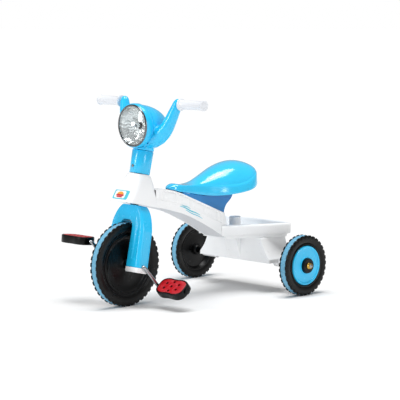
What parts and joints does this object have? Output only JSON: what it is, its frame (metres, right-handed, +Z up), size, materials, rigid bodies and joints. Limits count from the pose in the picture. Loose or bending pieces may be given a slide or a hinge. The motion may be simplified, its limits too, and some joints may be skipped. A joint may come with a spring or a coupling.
{
  "type": "childrens_tricycle",
  "caption": "Children's pedal tricycle in white and sky blue plastic with a round headlight, saddle, rear tray and front-wheel cranks",
  "frame": {"origin": "on the floor, under the middle of the bounding box", "axes": "+X is the rider's left, +Y points rearward (the tricycle faces -Y), +Z is up; the length lies along Y"},
  "size_m": [0.484, 0.647, 0.5429],
  "materials": {
    "white_plastic": "smooth moulded",
    "undercover_plastic": "satin moulded",
    "zinc_screw": "zinc plated",
    "printed_film": "printed vinyl",
    "bearing_plastic": "satin acetal",
    "bright_steel": "bright plated",
    "grey_steel": "plain tube",
    "black_plastic": "satin moulded",
    "brass": "plated",
    "blue_plastic": "smooth moulded",
    "chrome_trim": "vacuum plated",
    "clear_lens": "clear polystyrene",
    "mirror_coat": "metallised",
    "cell_jacket": "shrink film",
    "tyre_black": "moulded tread",
    "tread_blue": "satin moulded",
    "red_plastic": "smooth moulded"
  },
  "bodies": {
    "frame": {"main_beam": "white_plastic", "beam_undercover": "undercover_plastic", "neck_cover": "white_plastic", "front_badge": "printed_film", "side_stripes": "printed_film", "upper_steering_bush": "bearing_plastic", "lower_steering_bush": "bearing_plastic", "rear_tray": "white_plastic", "rear_axle_box": "white_plastic", "tray_screws": "zinc_screw", "rear_axle": "bright_steel", "axle_spacers": "black_plastic", "axle_nuts": "brass", "seat_base": "blue_plastic", "seat_shell": "blue_plastic", "seat_bolts": "zinc_screw"},
    "steering_assembly": {"fork_front_shell": "blue_plastic", "fork_rear_cover": "blue_plastic", "fork_screws": "zinc_screw", "crown_bolt": "zinc_screw", "left_axle_clip": "white_plastic", "right_axle_clip": "white_plastic", "steering_column": "grey_steel", "stem_sleeve": "blue_plastic", "stem_screw": "zinc_screw", "handlebar_housing": "blue_plastic", "housing_screws": "zinc_screw", "lamp_ring": "blue_plastic", "lamp_trim_ring": "chrome_trim", "lamp_lens": "clear_lens", "lamp_reflector": "mirror_coat", "bulb_holder": "black_plastic", "lamp_bulb": "clear_lens", "battery_box": "black_plastic", "battery_cells": "cell_jacket", "grip_tubes": "bright_steel", "left_grip": "white_plastic", "right_grip": "white_plastic"},
    "front_wheel": {"front_wheel_core": "black_plastic", "front_tyre": "tyre_black", "front_tread_band": "tread_blue", "crank_rod": "bright_steel"},
    "left_pedal": {"left_pedal_body": "black_plastic", "left_pedal_pad": "red_plastic", "left_pedal_cap": "black_plastic"},
    "right_pedal": {"right_pedal_body": "black_plastic", "right_pedal_pad": "red_plastic", "right_pedal_cap": "black_plastic"},
    "rear_left_wheel": {"left_wheel_core": "black_plastic", "left_tyre": "tyre_black", "left_tread_band": "tread_blue", "left_wheel_disc": "blue_plastic"},
    "rear_right_wheel": {"right_wheel_core": "black_plastic", "right_tyre": "tyre_black", "right_tread_band": "tread_blue", "right_wheel_disc": "blue_plastic"}
  },
  "joints": [
    {"name": "steering", "type": "hinge", "parent": "frame", "child": "steering_assembly", "pos_m": [0, -0.2135, 0.11], "axis": [0, 0.2164, 0.9763], "range_deg": [-40, 40]},
    {"name": "front_wheel_spin", "type": "hinge", "parent": "steering_assembly", "child": "front_wheel", "pos_m": [0, -0.2135, 0.11], "axis": [1, 0, 0], "continuous": true},
    {"name": "left_pedal_spin", "type": "hinge", "parent": "front_wheel", "child": "left_pedal", "pos_m": [0.1293, -0.16265, 0.05352], "axis": [1, 0, 0], "continuous": true},
    {"name": "right_pedal_spin", "type": "hinge", "parent": "front_wheel", "child": "right_pedal", "pos_m": [-0.1293, -0.26435, 0.16648], "axis": [1, 0, 0], "continuous": true},
    {"name": "rear_left_wheel_spin", "type": "hinge", "parent": "frame", "child": "rear_left_wheel", "pos_m": [0.211, 0.2415, 0.082], "axis": [1, 0, 0], "continuous": true},
    {"name": "rear_right_wheel_spin", "type": "hinge", "parent": "frame", "child": "rear_right_wheel", "pos_m": [-0.211, 0.2415, 0.082], "axis": [1, 0, 0], "continuous": true}
  ]
}
